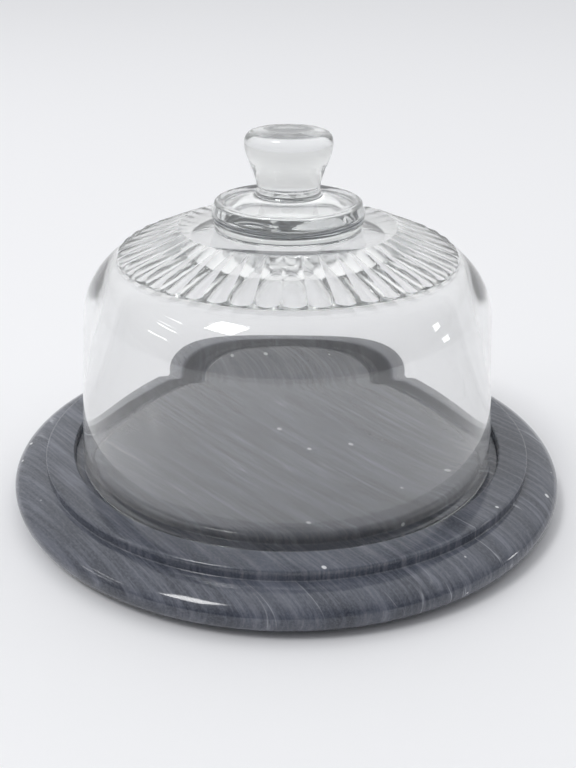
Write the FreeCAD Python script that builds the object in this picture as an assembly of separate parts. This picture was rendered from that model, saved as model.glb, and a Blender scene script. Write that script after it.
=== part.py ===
# A round marble board with a pressed glass cover that stands in a turned groove.
# Millimetres. Z is up, the Z axis is the axis of turning, and Z = 0 is the table under the foot pads.
import FreeCAD, Part
import math
import os
from FreeCAD import Vector

# ---- driving dimensions: the marble board ----
BASE_RADIUS = 130.0          # outermost point of the rounded edge
PAD_HEIGHT = 1.5             # the marble stands this far above the table
EDGE_HALF_HEIGHT = 8.05      # the rounded edge is twice this thick
EDGE_UPPER_WIDTH = 15.0      # above the widest line it is a quarter of a flat ellipse
EDGE_LOWER_WIDTH = 8.05      # below it, a quarter of a circle
BAND_TOP = 22.5              # height of the flat band and of the serving face
BAND_OUTER_RADIUS = 115.0    # side of the step outside the band
BAND_ROUND = 1.2             # rounded corners of the band
GROOVE_OUTER_RADIUS = 101.6
GROOVE_FLOOR = 17.8
PLATEAU_RADIUS = 87.6        # side of the raised serving face
PLATEAU_ROUND = 3.0          # its rounded edge

# ---- driving dimensions: the foot pads ----
PAD_COUNT = 4
PAD_RADIUS = 7.0
PAD_CIRCLE_RADIUS = 98.0
PAD_FIRST_ANGLE = 45.0

# ---- driving dimensions: the glass bell ----
FOOT_RADIUS = 98.4           # outside of the wall at the foot
FOOT_WALL = 2.9
SHOULDER_CENTRE = (59.73, 85.46)       # the outside of the shoulder is part of a circle,
SHOULDER_RADIUS = 32.95                # from and to these angles above the level
SHOULDER_ANGLES = (4.75, 56.7)
LEDGE_FOOT = (76.3, 114.0)             # radius, height where the shoulder meets the ledge
INNER_CENTRE = (71.02, 77.11)          # the inside of the shoulder is part of an upright ellipse
INNER_HALF_WIDTH = 16.58
INNER_HALF_HEIGHT = 32.89
INNER_ANGLES = (13.9, 80.5)
NECK_LOW = (38.0, 125.0)               # lowest point of the shallow neck between flutes and collar
CROWN_RADIUS = 30.0          # flat seat that carries the knob
CROWN_TOP = 126.0
CEILING = 121.45             # highest point inside, on the axis
CEILING_BEND = 234.9         # radius of the shallow arched ceiling

# ---- driving dimensions: the flutes ----
FLUTE_COUNT = 45
SCOOP_RADIUS = 11.4          # each flute is part of a round tube
SCOOP_OUTER = (76.0, 114.6)  # radius, height where a scoop's lowest line leaves the ledge
SCOOP_INNER = (49.7, 126.45) # radius, height where it stops against the neck
LEDGE_LEAN = 0.9             # the ledge leans in by this much over its height
LEDGE_RIDGE = 1.25           # height of the blank over the scoops at the ledge, in ridge heights
NECK_RIDGE = 1.1             # the same where the scoops stop
SCOOP_OVER_RUN = 8.0         # a scoop's cutter runs this far past the ledge

# ---- driving dimensions: the knob, as radius and height ----
KNOB_DIMPLE_RADIUS = 8.8
KNOB_DIMPLE_DEPTH = 0.7
KNOB_TOP = 167.5
KNOB_FLAT_RADIUS = 13.6      # the flat top ends here and the rounded side begins
KNOB_RADIUS = 19.2
KNOB_WIDEST = 161.4
STEM_RADIUS = 13.9
STEM_EDGE = 144.0
DISH_INNER = (15.9, 139.9)
DISH_OUTER = (27.8, 135.9)
RIM_TOP = (30.6, 137.8)
RIM_OUTER = (32.2, 136.9)
COLLAR_RADIUS = 34.0
COLLAR_WIDEST = 131.2
COLLAR_UNDER = (32.6, 127.6)


def at(radius, height):
    return Vector(radius, 0, height)


def line(a, b):
    return Part.LineSegment(a, b).toShape()


def arc(a, middle, b):
    return Part.Arc(a, middle, b).toShape()


def turned(edges):
    """A solid turned about the Z axis from a closed outline of radius and height."""
    face = Part.Face(Part.Wire(edges))
    return face.revolve(Vector(0, 0, 0), Vector(0, 0, 1), 360)


def quarter_round(corner_radius, corner_height, size, outward):
    """Start, middle and end of a rounded top corner; outward is +1 or -1 along the radius."""
    centre_radius = corner_radius - outward * size
    centre_height = corner_height - size
    diagonal = size * math.sqrt(0.5)
    side = at(corner_radius, centre_height)
    middle = at(centre_radius + outward * diagonal, centre_height + diagonal)
    top = at(centre_radius, corner_height)
    return side, middle, top


def curve_points(centre, half_width, half_height, angles, spans):
    """Points along part of an ellipse or circle, from the lower of two angles to the upper."""
    points = []
    for index in range(spans + 1):
        angle = math.radians(angles[0] + (angles[1] - angles[0]) * index / spans)
        points.append(at(centre[0] + half_width * math.cos(angle), centre[1] + half_height * math.sin(angle)))
    return points


def make_marble_base():
    edge_middle = PAD_HEIGHT + EDGE_HALF_HEIGHT
    upper_centre = (BASE_RADIUS - EDGE_UPPER_WIDTH, edge_middle)
    lower_centre = (BASE_RADIUS - EDGE_LOWER_WIDTH, edge_middle)
    upper = curve_points(upper_centre, EDGE_UPPER_WIDTH, EDGE_HALF_HEIGHT, (0, 90), 8)
    lower = curve_points(lower_centre, EDGE_LOWER_WIDTH, EDGE_HALF_HEIGHT, (-90, 0), 2)
    band_side, band_mid, band_in = quarter_round(BAND_OUTER_RADIUS, BAND_TOP, BAND_ROUND, 1)
    wall_side, wall_mid, wall_top = quarter_round(GROOVE_OUTER_RADIUS, BAND_TOP, BAND_ROUND, -1)
    step_side, step_mid, step_top = quarter_round(PLATEAU_RADIUS, BAND_TOP, PLATEAU_ROUND, 1)
    points = {
        "bottom": at(0, PAD_HEIGHT),
        "groove_outer": at(GROOVE_OUTER_RADIUS, GROOVE_FLOOR),
        "groove_inner": at(PLATEAU_RADIUS, GROOVE_FLOOR),
        "centre": at(0, BAND_TOP),
    }
    return turned([
        line(points["bottom"], lower[0]),
        arc(*lower),
        arc(*upper[0:3]),
        arc(*upper[2:5]),
        arc(*upper[4:7]),
        arc(*upper[6:9]),
        line(upper[8], band_side),
        arc(band_side, band_mid, band_in),
        line(band_in, wall_top),
        arc(wall_top, wall_mid, wall_side),
        line(wall_side, points["groove_outer"]),
        line(points["groove_outer"], points["groove_inner"]),
        line(points["groove_inner"], step_side),
        arc(step_side, step_mid, step_top),
        line(step_top, points["centre"]),
        line(points["centre"], points["bottom"]),
    ])


def make_foot_pad(index):
    angle = math.radians(PAD_FIRST_ANGLE + index * 360.0 / PAD_COUNT)
    x = PAD_CIRCLE_RADIUS * math.cos(angle)
    y = PAD_CIRCLE_RADIUS * math.sin(angle)
    pad = Part.makeCylinder(PAD_RADIUS, PAD_HEIGHT, Vector(x, y, 0))
    rim = [edge for edge in pad.Edges if edge.BoundBox.ZMax < 0.01]
    return pad.makeChamfer(0.4, rim)


def ridge_height(radius):
    """Height of the ridge that two neighbouring scoops leave between them at this distance from the axis."""
    half_pitch = math.pi * radius / FLUTE_COUNT
    return SCOOP_RADIUS - math.sqrt(SCOOP_RADIUS ** 2 - half_pitch ** 2)


def make_bell_blank():
    """The bell before its flutes are cut: the fluted band stands proud of the shoulder by a ledge."""
    toe = FOOT_WALL / 2
    foot_out = at(FOOT_RADIUS, GROOVE_FLOOR + toe)
    foot_mid = at(FOOT_RADIUS - toe, GROOVE_FLOOR)
    foot_in = at(FOOT_RADIUS - FOOT_WALL, GROOVE_FLOOR + toe)
    outer = curve_points(SHOULDER_CENTRE, SHOULDER_RADIUS, SHOULDER_RADIUS, SHOULDER_ANGLES, 2)
    inner = curve_points(INNER_CENTRE, INNER_HALF_WIDTH, INNER_HALF_HEIGHT, INNER_ANGLES, 8)
    ledge_foot = at(*LEDGE_FOOT)
    ridge_outer = LEDGE_RIDGE * ridge_height(SCOOP_OUTER[0])
    ridge_inner = NECK_RIDGE * ridge_height(SCOOP_INNER[0])
    ledge_top = at(LEDGE_FOOT[0] - LEDGE_LEAN, SCOOP_OUTER[1] + ridge_outer)
    band_in = at(SCOOP_INNER[0], SCOOP_INNER[1] + ridge_inner)
    crown_edge = at(CROWN_RADIUS, CROWN_TOP)
    half_way = inner[8].x / 2
    ceiling_middle = at(half_way, CEILING - CEILING_BEND + math.sqrt(CEILING_BEND ** 2 - half_way ** 2))
    return turned([
        arc(foot_in, foot_mid, foot_out),
        line(foot_out, outer[0]),
        arc(*outer),
        line(outer[2], ledge_foot),
        line(ledge_foot, ledge_top),
        line(ledge_top, band_in),
        arc(band_in, at(*NECK_LOW), crown_edge),
        line(crown_edge, at(0, CROWN_TOP)),
        line(at(0, CROWN_TOP), at(0, CEILING)),
        arc(at(0, CEILING), ceiling_middle, inner[8]),
        arc(inner[8], inner[7], inner[6]),
        arc(inner[6], inner[5], inner[4]),
        arc(inner[4], inner[3], inner[2]),
        arc(inner[2], inner[1], inner[0]),
        line(inner[0], foot_in),
    ])


def make_flute_cutter(index):
    """A round cutter that lies along one scoop, stops at the neck and runs out over the ledge."""
    run_radius = SCOOP_OUTER[0] - SCOOP_INNER[0]
    run_height = SCOOP_OUTER[1] - SCOOP_INNER[1]
    run = math.hypot(run_radius, run_height)
    outward = (run_radius / run, run_height / run)
    start = at(SCOOP_INNER[0] - outward[1] * SCOOP_RADIUS, SCOOP_INNER[1] + outward[0] * SCOOP_RADIUS)
    cutter = Part.makeCylinder(SCOOP_RADIUS, run + SCOOP_OVER_RUN, start, at(*outward))
    cutter.rotate(Vector(0, 0, 0), Vector(0, 0, 1), index * 360.0 / FLUTE_COUNT)
    return cutter


def make_glass_dome():
    bell = make_bell_blank()
    for index in range(FLUTE_COUNT):
        bell = bell.cut(make_flute_cutter(index))
    return bell


def make_glass_knob():
    top_round = at(KNOB_RADIUS - 1.4, KNOB_TOP - 2.0)
    widest = at(KNOB_RADIUS, KNOB_WIDEST)
    belly = at(KNOB_RADIUS - 1.7, KNOB_WIDEST - 7.3)
    stem_edge = at(STEM_RADIUS, STEM_EDGE)
    collar_under = at(*COLLAR_UNDER)
    collar_side = at(COLLAR_RADIUS - 0.3, COLLAR_WIDEST - 1.7)
    collar_widest = at(COLLAR_RADIUS, COLLAR_WIDEST)
    return turned([
        line(at(0, CROWN_TOP), at(CROWN_RADIUS - 0.5, CROWN_TOP)),
        line(at(CROWN_RADIUS - 0.5, CROWN_TOP), collar_under),
        arc(collar_under, collar_side, collar_widest),
        line(collar_widest, at(*RIM_OUTER)),
        arc(at(*RIM_OUTER), at(RIM_TOP[0] + 0.9, RIM_TOP[1] - 0.2), at(*RIM_TOP)),
        line(at(*RIM_TOP), at(*DISH_OUTER)),
        line(at(*DISH_OUTER), at(*DISH_INNER)),
        arc(at(*DISH_INNER), at(STEM_RADIUS + 0.5, STEM_EDGE - 3.0), stem_edge),
        arc(stem_edge, belly, widest),
        arc(widest, top_round, at(KNOB_FLAT_RADIUS, KNOB_TOP)),
        line(at(KNOB_FLAT_RADIUS, KNOB_TOP), at(KNOB_DIMPLE_RADIUS, KNOB_TOP)),
        line(at(KNOB_DIMPLE_RADIUS, KNOB_TOP), at(0, KNOB_TOP - KNOB_DIMPLE_DEPTH)),
        line(at(0, KNOB_TOP - KNOB_DIMPLE_DEPTH), at(0, CROWN_TOP)),
    ])


def main():
    os.makedirs("parts", exist_ok=True)
    make_marble_base().exportStep("parts/marble_base.step")
    for index in range(PAD_COUNT):
        make_foot_pad(index).exportStep("parts/foot_pad_%d.step" % (index + 1))
    make_glass_dome().exportStep("parts/glass_dome.step")
    make_glass_knob().exportStep("parts/glass_knob.step")


main()
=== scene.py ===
import math

import bmesh
import bpy
from mathutils import Matrix, Vector


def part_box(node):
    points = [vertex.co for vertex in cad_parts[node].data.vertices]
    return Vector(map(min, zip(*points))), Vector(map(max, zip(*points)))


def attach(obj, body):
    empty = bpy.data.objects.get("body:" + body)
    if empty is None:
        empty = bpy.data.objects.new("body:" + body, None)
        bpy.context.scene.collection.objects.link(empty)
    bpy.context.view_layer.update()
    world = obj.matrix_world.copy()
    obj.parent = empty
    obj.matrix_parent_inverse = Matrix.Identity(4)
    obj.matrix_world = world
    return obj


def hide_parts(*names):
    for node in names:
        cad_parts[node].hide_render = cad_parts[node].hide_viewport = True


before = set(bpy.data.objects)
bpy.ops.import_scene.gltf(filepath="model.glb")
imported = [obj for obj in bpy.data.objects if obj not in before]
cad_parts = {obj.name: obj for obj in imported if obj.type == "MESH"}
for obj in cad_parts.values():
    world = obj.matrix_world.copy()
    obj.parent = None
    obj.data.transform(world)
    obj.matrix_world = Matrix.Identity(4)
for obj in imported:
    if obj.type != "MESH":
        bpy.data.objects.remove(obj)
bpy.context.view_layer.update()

# ---------------------------------------------------------------------------------------------------
# Marble board. One slab of dark blue-grey marble, turned on a lathe and polished all over. It has a
# rounded edge, a small step, a flat band, a groove for the glass and a raised serving face.
# ---------------------------------------------------------------------------------------------------
MM = 0.001
base_low, base_high = (Vector(corner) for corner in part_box("marble_base"))
base_radius = base_high.x
band_top = base_high.z
slab_foot = base_low.z
edge_thickness = 16.1 * MM
half_edge = edge_thickness / 2
edge_middle = slab_foot + half_edge
band_outer = 115.0 * MM
groove_outer = 101.6 * MM
groove_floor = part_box("glass_dome")[0][2]
plateau_radius = 87.6 * MM
board_sectors = 30
large_round = 3 * MM


def sector(name, outline, sectors, steps):
    """One sector of a solid turned about the Z axis. Outline points are (radius, height, corner cut-back)."""
    bpy.ops.object.select_all(action="DESELECT")
    bpy.ops.mesh.primitive_plane_add(size=MM, location=(0, 0, 0))
    piece = bpy.context.object
    piece.name = name
    bpy.ops.object.mode_set(mode="EDIT")
    bpy.ops.mesh.merge(type="CENTER")
    bpy.ops.transform.translate(value=(outline[0][0], 0, outline[0][1]))
    for before, after in zip(outline, outline[1:]):
        move = (after[0] - before[0], 0, after[1] - before[1])
        bpy.ops.mesh.extrude_vertices_move(TRANSFORM_OT_translate={"value": move})
    for radius, height, cut in outline:
        if cut:
            mesh = bmesh.from_edit_mesh(piece.data)
            corner = Vector((radius, 0, height))
            nearest = min(mesh.verts, key=lambda v: (v.co - corner).length)
            for vertex in mesh.verts:
                vertex.select_set(vertex is nearest)
            mesh.select_flush_mode()
            rounds = 5 if cut < large_round else 10
            bpy.ops.mesh.bevel(offset=cut, segments=rounds, affect="VERTICES")
    bpy.ops.mesh.select_all(action="SELECT")
    bpy.ops.mesh.spin(steps=steps, angle=2 * math.pi / sectors, center=(0, 0, 0), axis=(0, 0, 1))
    bpy.ops.object.mode_set(mode="OBJECT")
    return piece


def all_round(piece, sectors, crease):
    """Repeats a sector all the way round the Z axis, closes its seams and smooths its faces. The crease is
    the angle in degrees above which an edge stays sharp."""
    bpy.ops.object.empty_add(rotation=(0, 0, 2 * math.pi / sectors))
    turner = bpy.context.object
    bpy.ops.object.select_all(action="DESELECT")
    piece.select_set(True)
    bpy.context.view_layer.objects.active = piece
    copies = piece.modifiers.new("copies", "ARRAY")
    copies.count = sectors
    copies.use_relative_offset = False
    copies.use_object_offset = True
    copies.offset_object = turner
    bpy.ops.object.modifier_apply(modifier="copies")
    bpy.data.objects.remove(turner)
    bpy.ops.object.mode_set(mode="EDIT")
    bpy.ops.mesh.select_all(action="SELECT")
    bpy.ops.mesh.remove_doubles(threshold=0.004 * MM)
    bpy.ops.mesh.normals_make_consistent(inside=False)
    bpy.ops.object.mode_set(mode="OBJECT")
    bpy.ops.object.shade_smooth_by_angle(angle=math.radians(crease))


def bend(centre, half_width, half_height, first, last, spans=24):
    """Outline points along part of an ellipse or circle, between two angles in degrees."""
    turns = [math.radians(first + (last - first) * step / spans) for step in range(spans + 1)]
    return [(centre[0] + half_width * math.cos(t), centre[1] + half_height * math.sin(t), 0) for t in turns]


board = sector(
    "marble_board",
    [
        (0, slab_foot, 0),
        *bend((base_radius - half_edge, edge_middle), half_edge, half_edge, -90, 0),
        *bend((band_outer, edge_middle), base_radius - band_outer, half_edge, 2, 86),
        (band_outer, slab_foot + edge_thickness, 0.5 * MM),
        (band_outer, band_top, 1.2 * MM),
        (groove_outer, band_top, 1.0 * MM),
        (groove_outer, groove_floor, 0.6 * MM),
        (plateau_radius, groove_floor, 0.6 * MM),
        (plateau_radius, band_top, 2.8 * MM),
        (0, band_top, 0),
    ],
    board_sectors,
    8,
)
all_round(board, board_sectors, 30)


def linear(hex_colour):
    """An sRGB hex colour as linear red, green, blue and full alpha."""
    values = [int(hex_colour[i : i + 2], 16) / 255 for i in (0, 2, 4)]
    return [v / 12.92 if v <= 0.04045 else ((v + 0.055) / 1.055) ** 2.4 for v in values] + [1.0]


def add(tree, kind, settings=None, **links):
    """Adds a node. Settings name its attributes or sockets, and links feed its sockets from others."""
    node = tree.nodes.new(kind)
    for key, value in (settings or {}).items():
        if hasattr(node, key):
            setattr(node, key, value)
        else:
            node.inputs[key].default_value = value
    for key, source in links.items():
        tree.links.new(source, node.inputs[key.replace("_", " ")])
    return node


def new_material(name):
    material = bpy.data.materials.new(name)
    material.use_nodes = True
    material.node_tree.nodes.clear()
    return material, material.node_tree


marble, tree = new_material("polished_blue_grey_marble")
place = add(tree, "ShaderNodeTexCoord")
bedding_turn = (0, 0, math.radians(51))
bedding = add(tree, "ShaderNodeMapping", {"Rotation": bedding_turn}, Vector=place.outputs["Object"])


def stone_noise(length, width, depth, detail, roughness):
    """Noise drawn out along the bedding of the stone. The three sizes are those of one patch, in metres."""
    scale = (1 / length, 1 / width, 1 / depth)
    size = add(tree, "ShaderNodeMapping", {"Scale": scale}, Vector=bedding.outputs[0])
    return add(tree, "ShaderNodeTexNoise", {"Scale": 1.0, "Detail": detail, "Roughness": roughness},
               Vector=size.outputs[0]).outputs["Fac"]


def spread(value, low, high, to_low=0.0, to_high=1.0):
    """Maps low..high of a value onto to_low..to_high, held at both ends."""
    limits = {"From Min": low, "From Max": high, "To Min": to_low, "To Max": to_high}
    return add(tree, "ShaderNodeMapRange", limits, Value=value).outputs[0]


def sums(operation, one, other):
    """A maths node on two values, either of which may be a plain number."""
    node = add(tree, "ShaderNodeMath", {"operation": operation})
    for socket, value in zip(node.inputs, (one, other)):
        if isinstance(value, (int, float)):
            socket.default_value = value
        else:
            tree.links.new(value, socket)
    return node.outputs[0]


def blend(amount, colour, other):
    """Mixes two colours; each is an output or an sRGB hex value."""
    node = add(tree, "ShaderNodeMix", {"data_type": "RGBA"}, Factor=amount)
    for socket, value in zip((node.inputs[6], node.inputs[7]), (colour, other)):
        if isinstance(value, str):
            socket.default_value = linear(value)
        else:
            tree.links.new(value, socket)
    return node.outputs[2]


# broad bands, fine pale threads and dark clouds, all drawn out along the bedding, with a fine grain
bands = stone_noise(150 * MM, 20 * MM, 60 * MM, 3.0, 0.55)
threads = stone_noise(70 * MM, 2.2 * MM, 16 * MM, 6.0, 0.66)
clouds = stone_noise(30 * MM, 9 * MM, 12 * MM, 5.0, 0.6)
grain = stone_noise(1.6 * MM, 0.8 * MM, 0.8 * MM, 3.0, 0.6)
body = blend(spread(bands, 0.32, 0.68), "383C47", "575B67")
body = blend(spread(threads, 0.46, 0.76, 0.0, 0.66), body, "9093A0")
body = blend(spread(clouds, 0.40, 0.72, 0.0, 0.55), body, "30343D")
body = blend(spread(grain, 0.42, 0.75, 0.0, 0.25), body, "8A8D95")
# thin white veins lie where a slow noise crosses its middle value
vein_run = stone_noise(190 * MM, 15 * MM, 60 * MM, 3.0, 0.5)
off_vein = sums("ABSOLUTE", sums("SUBTRACT", vein_run, 0.5), 0.0)
vein_line = sums("SUBTRACT", 1.0, spread(off_vein, 0.0, 0.012))
vein_here = spread(stone_noise(50 * MM, 14 * MM, 20 * MM, 2.0, 0.5), 0.53, 0.66)
veins = sums("MULTIPLY", sums("MULTIPLY", vein_line, vein_here), spread(threads, 0.38, 0.62, 0.25, 1.0))
body = blend(sums("MULTIPLY", veins, 0.75), body, "BDBFC6")
# small white flecks, in about a quarter of the cells of a grid of uneven cells
fleck_size = add(tree, "ShaderNodeMapping", {"Scale": (1 / (11 * MM), 1 / (8 * MM), 1 / (8 * MM))},
                 Vector=bedding.outputs[0])
fleck = add(tree, "ShaderNodeTexVoronoi", {"Scale": 1.0, "Randomness": 1.0}, Vector=fleck_size.outputs[0])
fleck_parts = add(tree, "ShaderNodeSeparateColor", Color=fleck.outputs["Color"])
fleck_reach = spread(fleck_parts.outputs[1], 0.0, 1.0, 0.05, 0.17)
fleck_in = spread(sums("SUBTRACT", fleck_reach, fleck.outputs["Distance"]), 0.0, 0.03)
fleck_here = spread(fleck_parts.outputs[0], 0.70, 0.74)
body = blend(sums("MULTIPLY", fleck_in, fleck_here), body, "D8D9DC")
polish = spread(clouds, 0.3, 0.7, 0.07, 0.13)
shader = add(tree, "ShaderNodeBsdfPrincipled", {"IOR": 1.55}, Base_Color=body, Roughness=polish)
add(tree, "ShaderNodeOutputMaterial", Surface=shader.outputs[0])
board.data.materials.append(marble)
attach(board, "board")
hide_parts("marble_base")

# ---------------------------------------------------------------------------------------------------
# Foot pads. Four round rubber pads, die cut and stuck under the marble.
# ---------------------------------------------------------------------------------------------------
rubber, tree = new_material("die_cut_rubber")
place = add(tree, "ShaderNodeTexCoord")
grain = add(tree, "ShaderNodeTexNoise", {"Scale": 2500.0, "Detail": 3.0}, Vector=place.outputs["Object"])
tone = blend(grain.outputs["Fac"], "202021", "2E2E30")
bump = add(tree, "ShaderNodeBump", {"Strength": 0.3, "Distance": 0.05 * MM}, Height=grain.outputs["Fac"])
shader = add(tree, "ShaderNodeBsdfPrincipled", {"Roughness": 0.75, "IOR": 1.52}, Base_Color=tone,
             Normal=bump.outputs[0])
add(tree, "ShaderNodeOutputMaterial", Surface=shader.outputs[0])
for index in range(1, 5):
    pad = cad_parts["foot_pad_%d" % index]
    pad.data.materials.clear()
    pad.data.materials.append(rubber)

# ---------------------------------------------------------------------------------------------------
# Glass cover. A pressed bell of clear soda-lime glass with a band of scoops round its crown, and a
# solid knob with a saucer-shaped collar fused onto it while hot, so the two are one piece of glass.
# ---------------------------------------------------------------------------------------------------
foot_low, dome_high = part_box("glass_dome")
knob_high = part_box("glass_knob")[1]
foot_radius = dome_high.x
knob_top = knob_high.z
collar_radius = knob_high.x
foot_wall = 2.9 * MM
inner_centre = (71.02 * MM, 77.11 * MM)
inner_half_width = 16.58 * MM
inner_half_height = 32.89 * MM
shoulder_centre = (59.73 * MM, 85.46 * MM)
shoulder_radius = 32.95 * MM
ledge_foot = (76.3 * MM, 114.0 * MM)
scoop_count = 45
scoop_radius = 11.4 * MM
scoop_outer = (76.0 * MM, 114.6 * MM)
scoop_inner = (48.6 * MM, 126.6 * MM)
fade_length = 4 * MM
ridge_lean = 0.41
ridge_lift = 0.91
ledge_lean = 0.5
arris_round = 0.35 * MM
ceiling_bend = 234.9 * MM
ceiling_centre = (0, 121.45 * MM - ceiling_bend)

glass = sector(
    "glass_cover",
    [
        *bend(ceiling_centre, ceiling_bend, ceiling_bend, 90, 72.5, 8),
        *bend(inner_centre, inner_half_width, inner_half_height, 80.5, 13.9),
        (foot_radius - foot_wall, foot_low.z, foot_wall * 0.49),
        (foot_radius, foot_low.z, foot_wall * 0.49),
        *bend(shoulder_centre, shoulder_radius, shoulder_radius, 4.75, 56.7),
        (*ledge_foot, 0),
        (*scoop_outer, 0),
        (*scoop_inner, 0),
        (41.0 * MM, 124.9 * MM, 8 * MM),
        (31.3 * MM, 125.4 * MM, 1.6 * MM),
        (33.5 * MM, 128.0 * MM, 1.7 * MM),
        (collar_radius, 131.6 * MM, 1.8 * MM),
        (32.4 * MM, 137.6 * MM, 1.2 * MM),
        (30.2 * MM, 137.8 * MM, 0.9 * MM),
        (27.8 * MM, 135.7 * MM, 2.2 * MM),
        (13.7 * MM, 140.2 * MM, 3.4 * MM),
        (13.9 * MM, 144.2 * MM, 0.3 * MM),
        (15.6 * MM, 150.5 * MM, 3.0 * MM),
        (19.2 * MM, 159.0 * MM, 3.0 * MM),
        (19.2 * MM, knob_top, 4.6 * MM),
        (8.8 * MM, knob_top, 0.8 * MM),
        (0, knob_top - 1.0 * MM, 0),
    ],
    scoop_count,
    10,
)


def ridge(vertex):
    """How far the scooped surface stands above a scoop's lowest line here. It fades out towards the neck."""
    radius = math.hypot(vertex.x, vertex.y)
    share = min(1, max(0, (radius - scoop_inner[0]) / fade_length))
    pitch = 2 * math.pi / scoop_count
    turn = math.atan2(vertex.y, vertex.x) % pitch
    across = radius * min(turn, pitch - turn)
    fade = share * share * (3 - 2 * share)
    return (scoop_radius - math.sqrt(scoop_radius ** 2 - across ** 2)) * fade


def on_ring(vertex, point):
    """Whether a vertex lies on the circle that this outline point makes when it is turned."""
    off_radius = abs(vertex.co.to_2d().length - point[0])
    off_height = abs(vertex.co.z - point[1])
    return max(off_radius, off_height) < 0.02 * MM


# the band is divided along its length, then each of its points is raised by the height of its ridge
bpy.ops.object.mode_set(mode="EDIT")
mesh = bmesh.from_edit_mesh(glass.data)
for edge in mesh.edges:
    one, two = edge.verts
    outward = on_ring(one, scoop_inner) and on_ring(two, scoop_outer)
    inward = on_ring(one, scoop_outer) and on_ring(two, scoop_inner)
    edge.select_set(outward or inward)
bpy.ops.mesh.subdivide(number_cuts=10)
mesh = bmesh.from_edit_mesh(glass.data)
for vertex in mesh.verts:
    radius = math.hypot(vertex.co.x, vertex.co.y)
    share = (radius - scoop_inner[0]) / (scoop_outer[0] - scoop_inner[0])
    line_height = scoop_inner[1] + share * (scoop_outer[1] - scoop_inner[1])
    if -0.001 < share < 1.001 and abs(vertex.co.z - line_height) < 0.02 * MM:
        height = ridge(vertex.co)
        lean = -ledge_lean * height if share > 0.999 else ridge_lean * height
        grown = (radius + lean) / radius
        vertex.co = Vector((vertex.co.x * grown, vertex.co.y * grown, vertex.co.z + ridge_lift * height))
# the sharp line along each ridge is rounded
half_pitch = math.pi / scoop_count
for edge in mesh.edges:
    ends = [vertex.co for vertex in edge.verts]
    on_ridge = all(abs(math.atan2(end.y, end.x) - half_pitch) < 0.001 for end in ends)
    on_band = all(scoop_inner[0] - 0.1 * MM < end.to_2d().length < scoop_outer[0] + 0.1 * MM for end in ends)
    along = abs(ends[0].to_2d().length - ends[1].to_2d().length) > 1.0 * MM
    edge.select_set(on_ridge and on_band and along and min(end.z for end in ends) > scoop_outer[1])
bmesh.update_edit_mesh(glass.data)
bpy.ops.mesh.bevel(offset=arris_round, segments=3, affect="EDGES")
bpy.ops.object.mode_set(mode="OBJECT")
all_round(glass, scoop_count, 28)

clear_glass, tree = new_material("pressed_soda_lime_glass")
# the part that isn't transmission is the faint white haze of handled glass
shader = add(tree, "ShaderNodeBsdfPrincipled", {"Roughness": 0.0, "IOR": 1.52, "Transmission Weight": 0.95})
shader.inputs["Base Color"].default_value = (1, 1, 1, 1)
body = add(tree, "ShaderNodeVolumeAbsorption", {"Color": linear("D2E2DC"), "Density": 1.8})
add(tree, "ShaderNodeOutputMaterial", Surface=shader.outputs[0], Volume=body.outputs[0])
glass.data.materials.append(clear_glass)
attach(glass, "cover")
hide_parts("glass_dome", "glass_knob")

# ---------------------------------------------------------------------------------------------------
# The studio. A pale floor and a soft grey-white room. One large lamp is the window that shines in the
# polish and the glass. Two narrow lamps and a small one give the thin and small reflections.
# ---------------------------------------------------------------------------------------------------
bpy.ops.object.select_all(action="DESELECT")
bpy.ops.mesh.primitive_plane_add(size=24, location=(0, 0, 0))
floor = bpy.context.object
floor.name = "floor"
paper, tree = new_material("matt_white_paper")
shader = add(tree, "ShaderNodeBsdfDiffuse", {"Color": linear("F4F4F6")})
add(tree, "ShaderNodeOutputMaterial", Surface=shader.outputs[0])
floor.data.materials.append(paper)

world = bpy.data.worlds.new("studio_room")
bpy.context.scene.world = world
world.use_nodes = True
tree = world.node_tree
tree.nodes.clear()
toward = add(tree, "ShaderNodeTexCoord")
parts = add(tree, "ShaderNodeSeparateXYZ", Vector=toward.outputs["Generated"])
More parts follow.
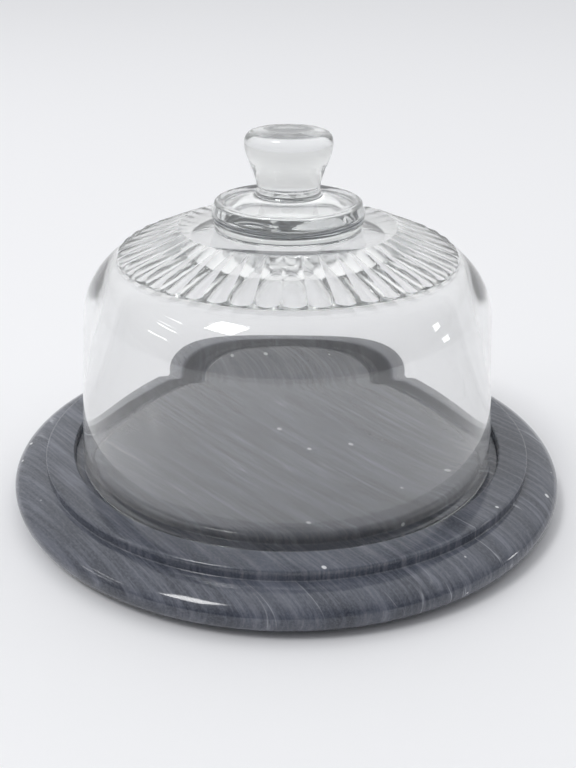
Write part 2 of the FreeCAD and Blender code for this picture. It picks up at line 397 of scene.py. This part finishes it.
# the lit walls are behind, above and left of the object; the room in front of it is dim
lit = sums("ADD", sums("MULTIPLY", parts.outputs[0], -0.20), sums("MULTIPLY", parts.outputs[1], 0.85))
lit = sums("ADD", lit, sums("MULTIPLY", parts.outputs[2], 0.40))
clutter = add(tree, "ShaderNodeTexNoise", {"Scale": 2.6, "Detail": 3.0, "Roughness": 0.5},
              Vector=toward.outputs["Generated"])
dim_side = blend(spread(clutter.outputs["Fac"], 0.42, 0.60), "1C1D20", "8C8D90")
tint = blend(spread(lit, -0.55, 0.35), dim_side, "F4F5F6")
# the wall is a little darker down where it meets the table
level = spread(parts.outputs[2], 0.10, 0.60, 0.76, 1.13)
glow = add(tree, "ShaderNodeBackground", Color=tint, Strength=level)
add(tree, "ShaderNodeOutputWorld", Surface=glow.outputs[0])


def area_lamp(name, direction, elevation, distance, width, height, watts):
    """A flat lamp that faces the object. The direction is in degrees from +X towards +Y."""
    light = bpy.data.lights.new(name, "AREA")
    light.shape = "RECTANGLE"
    light.size = width
    light.size_y = height
    light.energy = watts
    lamp = bpy.data.objects.new(name, light)
    bpy.context.collection.objects.link(lamp)
    turn = math.radians(direction)
    rise = math.radians(elevation)
    aim = Vector((math.cos(turn) * math.cos(rise), math.sin(turn) * math.cos(rise), math.sin(rise)))
    lamp.location = aim * distance + Vector((0, 0, 0.05))
    lamp.rotation_euler = aim.to_track_quat("Z", "Y").to_euler()


area_lamp("window", -142, 58, 4.0, 1.00, 0.95, 38)
area_lamp("upper_strip", -168, 35, 2.5, 0.60, 0.035, 0.9)
area_lamp("lower_strip", -167, 24, 2.5, 0.60, 0.035, 0.9)
area_lamp("far_window", 2, 8, 2.5, 0.22, 0.22, 1.4)

view = bpy.data.cameras.new("camera")
view.lens = 45.45
view.sensor_width = 36
camera = bpy.data.objects.new("camera", view)
bpy.context.collection.objects.link(camera)
camera.location = (0.00039, -0.4213, 0.24207)
pitch = Matrix.Rotation(math.radians(90 - 24.72), 3, "X")
roll = Matrix.Rotation(math.radians(0.42), 3, "Z")
camera.rotation_euler = (pitch @ roll).to_euler()
bpy.context.scene.camera = camera
bpy.context.scene.view_settings.view_transform = "Standard"
# light is thrown back and forth inside thick glass many times before it comes out
bpy.context.scene.cycles.max_bounces = 32
bpy.context.scene.cycles.glossy_bounces = 24
bpy.context.scene.cycles.transmission_bounces = 32
